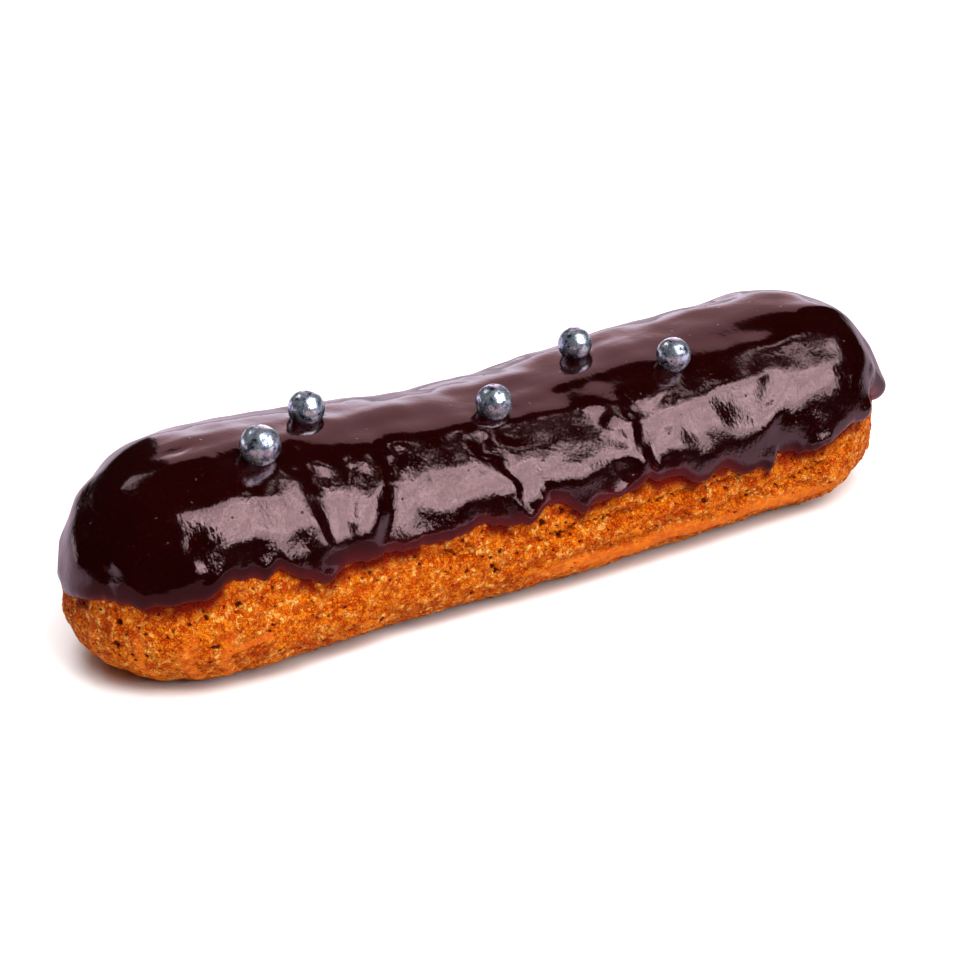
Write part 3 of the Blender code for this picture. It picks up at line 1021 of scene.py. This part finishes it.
def pores_at(points):
    """Masks and depths of the named holes and of many small seeded pores."""
    random = np.random.default_rng(SEED)
    places = RUN_LEFT - math.pi * END_LEFT + AROUND * random.random(PORE_COUNT)
    heights = random.uniform(*PORE_HEIGHTS, PORE_COUNT) * MM
    radii = PORE_RADIUS[0] + (PORE_RADIUS[1] - PORE_RADIUS[0]) * random.random(PORE_COUNT) ** 3
    centres = point_at(places, heights)
    named = point_at(*(np.array(HOLES).T[:2] * MM))
    radii = np.concatenate([np.array(HOLES)[:, 2] * MM, radii * MM])
    tree = kdtree.KDTree(len(points))
    for number, point in enumerate(points):
        tree.insert(point, number)
    tree.balance()
    ragged = 1 + PORE_RAGGED * waves(points, PORE_RAGGED_LENGTH, 8.8)
    mask = np.zeros(len(points))
    depth = np.zeros(len(points))
    for centre, radius in zip(np.concatenate([named, centres]), radii):
        for _, number, away in tree.find_range(centre, radius * 1.6):
            bowl = smooth_step((1.15 - away * ragged[number] / radius) / 0.5)
            mask[number] = max(mask[number], bowl)
            depth[number] = max(depth[number], bowl * radius * PORE_DEPTH)
    return mask, depth


print("pore helpers ready")


# %% Lay out the crust's rings
def crust_layout():
    """Places round the finger, the rim's angle at each, and the rings' angles from the top down."""
    run_cells = round((RUN_RIGHT - RUN_LEFT) / CRUST_CELL)
    left_cells = round(math.pi * END_LEFT / CRUST_CELL)
    right_cells = round(math.pi * END_RIGHT / CRUST_CELL)
    straight = np.linspace(0, RUN_RIGHT - RUN_LEFT, run_cells + 1)
    place = np.concatenate(
        [
            RUN_LEFT - math.pi * END_LEFT * np.linspace(1, 0, left_cells + 1)[:-1],
            RUN_LEFT + straight,
            RUN_RIGHT + math.pi * END_RIGHT * np.linspace(0, 1, right_cells + 1)[1:-1],
            RUN_RIGHT + math.pi * END_RIGHT + straight[:-1],
        ]
    )
    rim = share_angle(rim_share(place))
    hem = rim + HEM
    rows = round(float((hem - BASE_ANGLE).mean() * RIM_RADIUS * 1.1 / CRUST_CELL))
    hidden = np.linspace(0, 1, HIDDEN_ROWS + 1)[:-1, None]
    down = np.linspace(0, 1, rows + 1)[:, None]
    under_glaze = math.pi / 2 + (hem - math.pi / 2) * hidden
    return place, rim, np.concatenate([under_glaze, hem + (BASE_ANGLE - hem) * down])


def close_crust(mesh, top_ring, base_ring):
    """Merges the top ring where its points meet and closes the base with one flat face."""
    shell = bmesh.new()
    shell.from_mesh(mesh)
    shell.verts.ensure_lookup_table()
    shell.faces.new([shell.verts[i] for i in base_ring])
    bmesh.ops.remove_doubles(shell, verts=[shell.verts[i] for i in top_ring], dist=1e-6)
    bmesh.ops.recalc_face_normals(shell, faces=shell.faces)
    shell.to_mesh(mesh)
    shell.free()
    mesh.shade_smooth()
    mesh.polygons[-1].use_smooth = False


print("crust rings ready")


# %% Build the crust
def build_crust(finish):
    """The crust: the smooth finger first, then lumps, marks and pores along the normals."""
    place, rim, angles = crust_layout()
    core, dx, dy = columns_at(place)
    level, rise = np.cos(angles), np.sin(angles) * plan_size(dx, dy)
    seat = -SEAT * smooth_step((angles - rim) / HEM)
    grid_core = np.repeat(core[None], len(angles), 0)
    points = surface(grid_core, dx * level, dy * level, rise, seat).reshape(-1, 3)
    rings = np.arange(len(points)).reshape(angles.shape)
    crust = make_mesh("baked_crust", points, ring_quads(rings), finish)

    height = points[:, 2]
    places = np.repeat(place[None], len(angles), 0).ravel()
    below = (angle_share(rim)[None] - angle_share(angles)).ravel()
    ledge, smooth, ledge_shade = marks_at(places / MM, height / MM)
    pores, deep = pores_at(points)
    relief = relief_at(points, below) * (1 - 0.75 * smooth)
    relief -= ledge * MM * smooth_step(below / 0.05)
    relief += BAND_RISE * smooth
    relief -= deep * smooth_step(below / 0.04)
    foot_wave = FOOT_WAVE * waves(points, FOOT_WAVE_LENGTH, 5.1)
    relief += foot_wave * smooth_step(1 - height / (2.5 * MM))

    normals = normals_of(crust.data)
    level_out = smooth_step(1 - height / (1.6 * MM))[:, None] * np.array([0, 0, 1])
    outward = normals - normals * level_out
    outward /= np.linalg.norm(outward, axis=1, keepdims=True)
    points = points + outward * relief[:, None]
    points[height < ON_THE_BASE, 2] = 0
    set_points(crust.data, points + SHIFT)
    # The pore mask also carries the painted shade below the ledges.
    set_mask(crust.data, "pore", np.maximum(pores, 0.85 * ledge_shade))
    set_mask(crust.data, "smooth_band", smooth)
    set_mask(crust.data, "below_rim", below)
    close_crust(crust.data, rings[0], rings[-1])
    return crust


# %% [markdown]
# ## The crust's finish
#
# The oven dried the flakes to pale tan and left deeper orange between them; the pale tan on the high
# flakes is also painted highlight, as the crust's own shine is kept low, and the dark seams between the
# flakes are painted shade. Pores look dark because no light reaches their floors, so the mesh does part
# of it and a mask adds the rest; the same mask paints shade into the crevice below each torn ledge.
# Where syrup from the glaze soaked in, just below the rim, the crust is stained dark red, and its foot is
# darker where it stands in shade. A picture could be wrapped round it, but would smear at the ends.
# Noise and cells in the object's own space fit everywhere.

# %% Shared fine grain
def grain_group():
    """A node group for fine baked or sugary grain, shared by the crust and the pearls."""
    group = bpy.data.node_groups.new("fine_grain", "ShaderNodeTree")
    group.interface.new_socket("Scale", in_out="INPUT", socket_type="NodeSocketFloat")
    group.interface.new_socket("Height", in_out="OUTPUT", socket_type="NodeSocketFloat")
    scale = group.nodes.new("NodeGroupInput").outputs[0]
    where = add(group, "TexCoord").outputs["Object"]
    cells = add(group, "TexVoronoi", i0=where, Scale=product(group, scale, 1.3)).outputs[0]
    cloud = clouds(group, where, scale, 3.0, 0.65)
    grain = add(group, "Math", {"operation": "MULTIPLY_ADD"}, i0=cells, i1=-0.6, i2=cloud)
    group.links.new(grain.outputs[0], group.nodes.new("NodeGroupOutput").inputs["Height"])
    return group


FINE_GRAIN = grain_group()
print("fine grain:", len(FINE_GRAIN.nodes), "nodes")

# %% Crust finish
ORANGE = (0.52, 0.058, 0.0004, 1)
GOLDEN = (0.74, 0.166, 0.0020, 1)
BROWNED = (0.86, 0.74, 0.5, 1)
LIGHTER = (1.08, 1.15, 1.5, 1)
FLAKE_TAN_AND_HIGHLIGHT = (0.88, 0.47, 0.11, 1)
SEAM_SHADE = (0.26, 0.020, 0.0002, 1)
SMOOTH_BAND = (0.58, 0.125, 0.010, 1)
SYRUP_STAIN = (0.17, 0.006, 0.001, 1)
PORE_FLOOR = (0.07, 0.004, 0.0003, 1)
SHADED_FOOT = (0.10, 0.012, 0.0008, 1)

pastry, tree, shader = new_material("baked_choux_crust")
where = add(tree, "TexCoord").outputs["Object"]
band = attribute(tree, "smooth_band")
rough_part = maths(tree, "SUBTRACT", 1.0, product(tree, band, 0.7))
patches = clouds(tree, where, 140)
flakes = clouds(tree, where, 850, 4.0, 0.65)
areas = clouds(tree, where, 330, 1.0)
push = scaled(tree, clouds(tree, where, 900, 1.0, output="Color"), 0.0009)
bent = vectors(tree, "ADD", where, push)
cells = add(tree, "TexVoronoi", i0=bent, Scale=1700).outputs["Color"]
shade = add(tree, "SeparateColor", i0=cells).outputs[0]
seams = add(tree, "TexVoronoi", {"feature": "DISTANCE_TO_EDGE"}, i0=bent, Scale=1700).outputs[0]

colour = blend_colours(tree, ramp(tree, flakes, 0.36, 0.6), ORANGE, GOLDEN)
warm = blend_colours(tree, ramp(tree, patches, 0.35, 0.65), BROWNED, LIGHTER)
colour = blend_colours(tree, 1.0, colour, warm, "MULTIPLY")
# Painted highlight: the pale tan on the high flakes is partly their own colour and partly their
# highlights.
high = product(tree, ramp(tree, shade, 0.45, 0.9), ramp(tree, flakes, 0.4, 0.6))
high = product(tree, high, ramp(tree, areas, 0.4, 0.58, 0.2, 0.85), rough_part)
# Painted shade: dark lines along the edges of the flake cells, where the cracks between flakes lie in
# shade.
painted_seam_shade = product(tree, ramp(tree, seams, 0.11, 0.02), rough_part, ramp(tree, flakes, 0.62, 0.42))
painted_seam_shade = product(tree, painted_seam_shade, ramp(tree, areas, 0.62, 0.42, 0.5, 1.3), 0.6)
below_rim = ramp(tree, attribute(tree, "below_rim"), 0.15, 0.02)
stain = product(tree, below_rim, ramp(tree, patches, 0.42, 0.50))
# Painted shade: this mask darkens the pore floors and the crevice below each torn ledge.
pore = ramp(tree, attribute(tree, "pore"), 0.15, 0.85, 0.0, 0.9)
level = add(tree, "SeparateXYZ", i0=where).outputs[2]
for mask, over in (
    (high, FLAKE_TAN_AND_HIGHLIGHT),
    (painted_seam_shade, SEAM_SHADE),
    (product(tree, band, 0.5), SMOOTH_BAND),
    (stain, SYRUP_STAIN),
    (pore, PORE_FLOOR),
    (ramp(tree, level, 0.0013, 0.0002, 0.0, 0.8), SHADED_FOOT),
):
    colour = blend_colours(tree, mask, colour, over)
tree.links.new(colour, shader.inputs["Base Color"])
tree.links.new(ramp(tree, flakes, 0.3, 0.7, 0.42, 0.62), shader.inputs["Roughness"])

grain = add(tree, "Group", {"node_tree": FINE_GRAIN}, Scale=2600.0).outputs["Height"]
height = maths(tree, "ADD", grain, product(tree, flakes, 2.5))
height = maths(tree, "ADD", height, ramp(tree, seams, 0.0, 0.2, 0.0, 0.9))
height = product(tree, height, rough_part)
bump = add(tree, "Bump", Height=height, Strength=1.0, Distance=0.00028)
tree.links.new(bump.outputs[0], shader.inputs["Normal"])
shader.inputs["Specular IOR Level"].default_value = 0.05

crust = build_crust(pastry)
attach(crust, "root")
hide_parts("choux_pastry")
print("crust:", len(crust.data.polygons), "faces")

# %% [markdown]
# ## The silver pearls
#
# Each is a sugar ball tumbled in edible silver leaf. The leaf doesn't cover it evenly: it is bright
# where it is thick, grey where it is thin, and the dark sugar shows in specks. They could be perfect
# chrome balls, but that would look like steel. The mesh is a fine ball with shallow dents, and a
# mottled metal finish does the rest.

# %% Pearl finish
THIN_LEAF = (0.33, 0.39, 0.55, 1)
THICK_LEAF = (0.86, 0.92, 1.0, 1)
BARE_SUGAR = (0.03, 0.03, 0.045, 1)

silver, tree, shader = new_material("silver_leaf")
where = add(tree, "TexCoord").outputs["Object"]
leaf = clouds(tree, where, 900, 4.0, 0.7)
colour = blend_colours(tree, ramp(tree, leaf, 0.42, 0.62), THIN_LEAF, THICK_LEAF)
colour = blend_colours(tree, ramp(tree, leaf, 0.45, 0.38), colour, BARE_SUGAR)
tree.links.new(colour, shader.inputs["Base Color"])
tree.links.new(ramp(tree, leaf, 0.35, 0.65, 0.34, 0.15), shader.inputs["Roughness"])
shader.inputs["Metallic"].default_value = 0.9
grain = add(tree, "Group", {"node_tree": FINE_GRAIN}, Scale=1900.0)
bump = add(tree, "Bump", Height=grain.outputs["Height"], Strength=0.5, Distance=0.00006)
tree.links.new(bump.outputs[0], shader.inputs["Normal"])
print("silver leaf:", len(tree.nodes), "nodes")

# %% Build the pearls
DENT = 0.035 * MM
DENT_LENGTH = 1.5 * MM
DENT_TOP = 0.2


def build_pearl(number, centre, radius):
    """A ball with shallow dents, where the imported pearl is."""
    ball = bmesh.new()
    bmesh.ops.create_icosphere(ball, subdivisions=5, radius=1)
    mesh = bpy.data.meshes.new(f"pearl_{number}")
    ball.to_mesh(mesh)
    ball.free()
    points = np.array([v.co for v in mesh.vertices])
    dents = np.minimum(waves(points * radius, DENT_LENGTH, number * 3.7), DENT_TOP)
    set_points(mesh, centre + points * (radius + DENT * dents)[:, None])
    mesh.shade_smooth()
    mesh.materials.append(silver)
    obj = bpy.data.objects.new(f"pearl_{number}", mesh)
    bpy.context.scene.collection.objects.link(obj)
    return obj


for number, (centre, radius) in enumerate(PEARLS, 1):
    pearl = build_pearl(number, centre, radius)
    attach(pearl, "root")
    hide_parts(f"silver_pearl_{number}")
print("pearls:", len(PEARLS))
